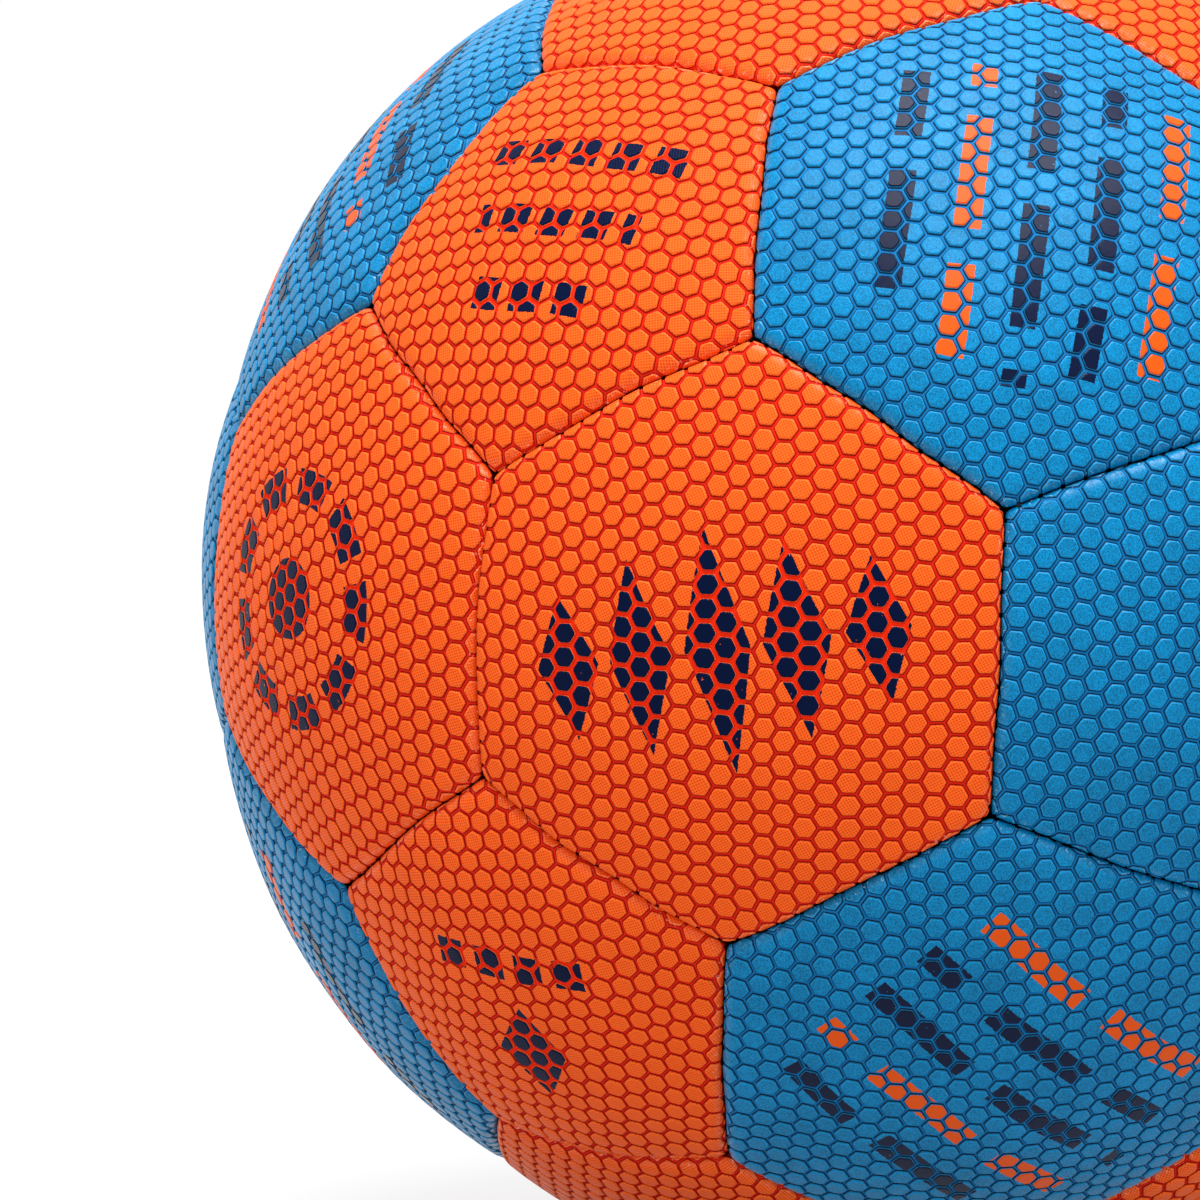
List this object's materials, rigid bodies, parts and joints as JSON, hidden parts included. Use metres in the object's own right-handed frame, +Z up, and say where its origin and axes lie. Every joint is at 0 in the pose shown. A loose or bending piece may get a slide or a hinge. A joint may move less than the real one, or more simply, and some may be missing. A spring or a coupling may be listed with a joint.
{
  "type": "handball",
  "caption": "Hand-stitched ball of hexagonal and pentagonal tray-shaped cover panels over foam, lining and a bladder with a needle valve.",
  "frame": {"origin": "centre of the ball", "axes": "+Z up as in the picture; -Y through the middle of the seam between the two large orange hexagonal panels of the front; +X through the middle of one blue cap"},
  "size_m": [0.1608, 0.1608, 0.1608],
  "materials": {
    "cover_orange": "orange synthetic leather, embossed with a honeycomb, matt with a fine weave on the raised cells",
    "cover_blue": "blue synthetic leather, embossed with a honeycomb, satin",
    "foam": "closed-cell foam",
    "lining": "laminated cotton and polyester cloth",
    "thread": "waxed polyester thread",
    "bladder_rubber": "smooth bladder rubber",
    "valve_rubber": "moulded soft rubber"
  },
  "bodies": {
    "root": {"orange_hex_panel_1": "cover_orange", "orange_hex_panel_2": "cover_orange", "orange_hex_panel_3": "cover_orange", "orange_hex_panel_4": "cover_orange", "orange_hex_panel_5": "cover_orange", "orange_hex_panel_6": "cover_orange", "orange_hex_panel_7": "cover_orange", "orange_hex_panel_8": "cover_orange", "blue_hex_panel_1": "cover_blue", "blue_hex_panel_2": "cover_blue", "blue_hex_panel_3": "cover_blue", "blue_hex_panel_4": "cover_blue", "blue_hex_panel_5": "cover_blue", "blue_hex_panel_6": "cover_blue", "blue_hex_panel_7": "cover_blue", "blue_hex_panel_8": "cover_blue", "blue_hex_panel_9": "cover_blue", "blue_hex_panel_10": "cover_blue", "blue_hex_panel_11": "cover_blue", "blue_hex_panel_12": "cover_blue", "orange_pent_panel_1": "cover_orange", "orange_pent_panel_2": "cover_orange", "orange_pent_panel_3": "cover_orange", "orange_pent_panel_4": "cover_orange", "orange_pent_panel_5": "cover_orange", "orange_pent_panel_6": "cover_orange", "orange_pent_panel_7": "cover_orange", "orange_pent_panel_8": "cover_orange", "blue_pent_panel_1": "cover_blue", "blue_pent_panel_2": "cover_blue", "blue_pent_panel_3": "cover_blue", "blue_pent_panel_4": "cover_blue", "foam_hex_pads": "foam", "foam_pent_pads": "foam", "lining_hex_cloths": "lining", "lining_pent_cloths": "lining", "hex_seam_thread": "thread", "orange_pent_seam_thread": "thread", "blue_pent_seam_thread": "thread", "bladder": "bladder_rubber", "valve_body": "valve_rubber", "valve_core": "valve_rubber"}
  },
  "joints": []
}
